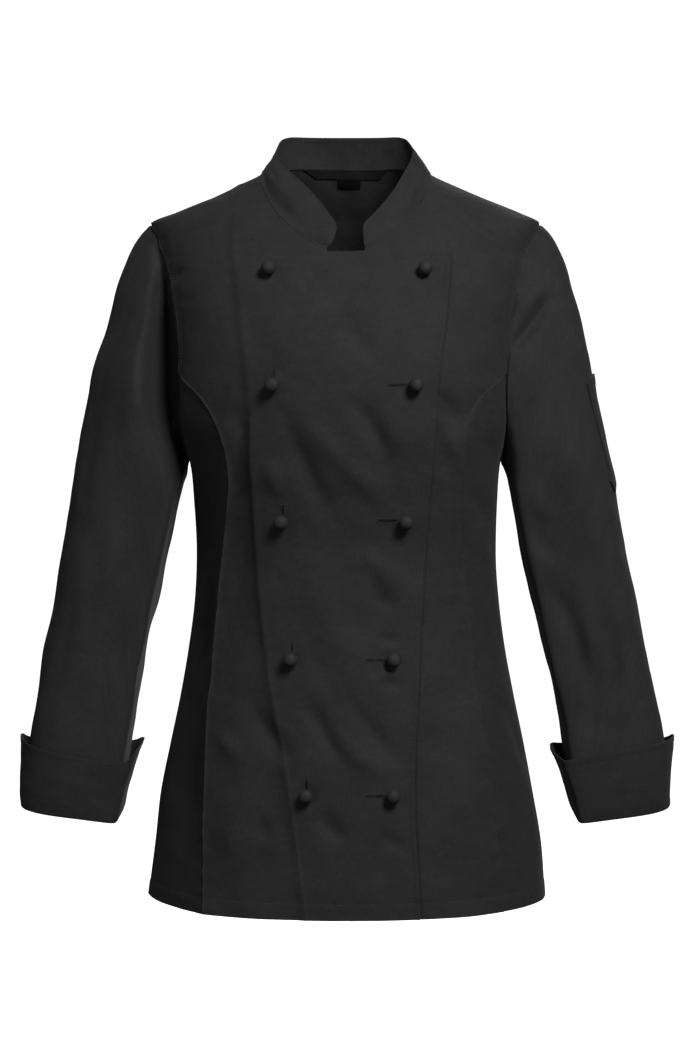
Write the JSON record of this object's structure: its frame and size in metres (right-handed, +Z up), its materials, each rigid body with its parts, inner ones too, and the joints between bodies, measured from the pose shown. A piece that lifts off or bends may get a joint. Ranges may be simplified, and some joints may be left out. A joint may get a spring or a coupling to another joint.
{
  "type": "chef jacket",
  "caption": "Double-breasted cook's jacket with a stand collar, princess seams, ball studs, a pen pocket on one sleeve and turned-back cuffs, filled out as if worn.",
  "frame": {"origin": "middle of the neck base at the height of the side-neck points, where the shoulders carry the jacket", "axes": "+Z up towards the collar, -Y out of the front, +X to the wearer's left"},
  "size_m": [0.6266, 0.2786, 0.7299],
  "materials": {
    "twill": "black cotton twill, matt, with a faint sheen",
    "tape": "black woven tape, matt",
    "stud": "black moulded studs, satin"
  },
  "bodies": {
    "root": {"front_right": "twill", "front_left": "twill", "side_front_right": "twill", "side_front_left": "twill", "back": "twill", "collar": "twill", "neck_tape": "tape", "neck_label": "tape", "sleeve_right": "twill", "sleeve_left": "twill", "cuff_right": "twill", "cuff_left": "twill", "sleeve_pocket": "twill", "button_right_1": "stud", "button_left_1": "stud", "button_right_2": "stud", "button_left_2": "stud", "button_right_3": "stud", "button_left_3": "stud", "button_right_4": "stud", "button_left_4": "stud", "button_right_5": "stud", "button_left_5": "stud"}
  },
  "joints": []
}
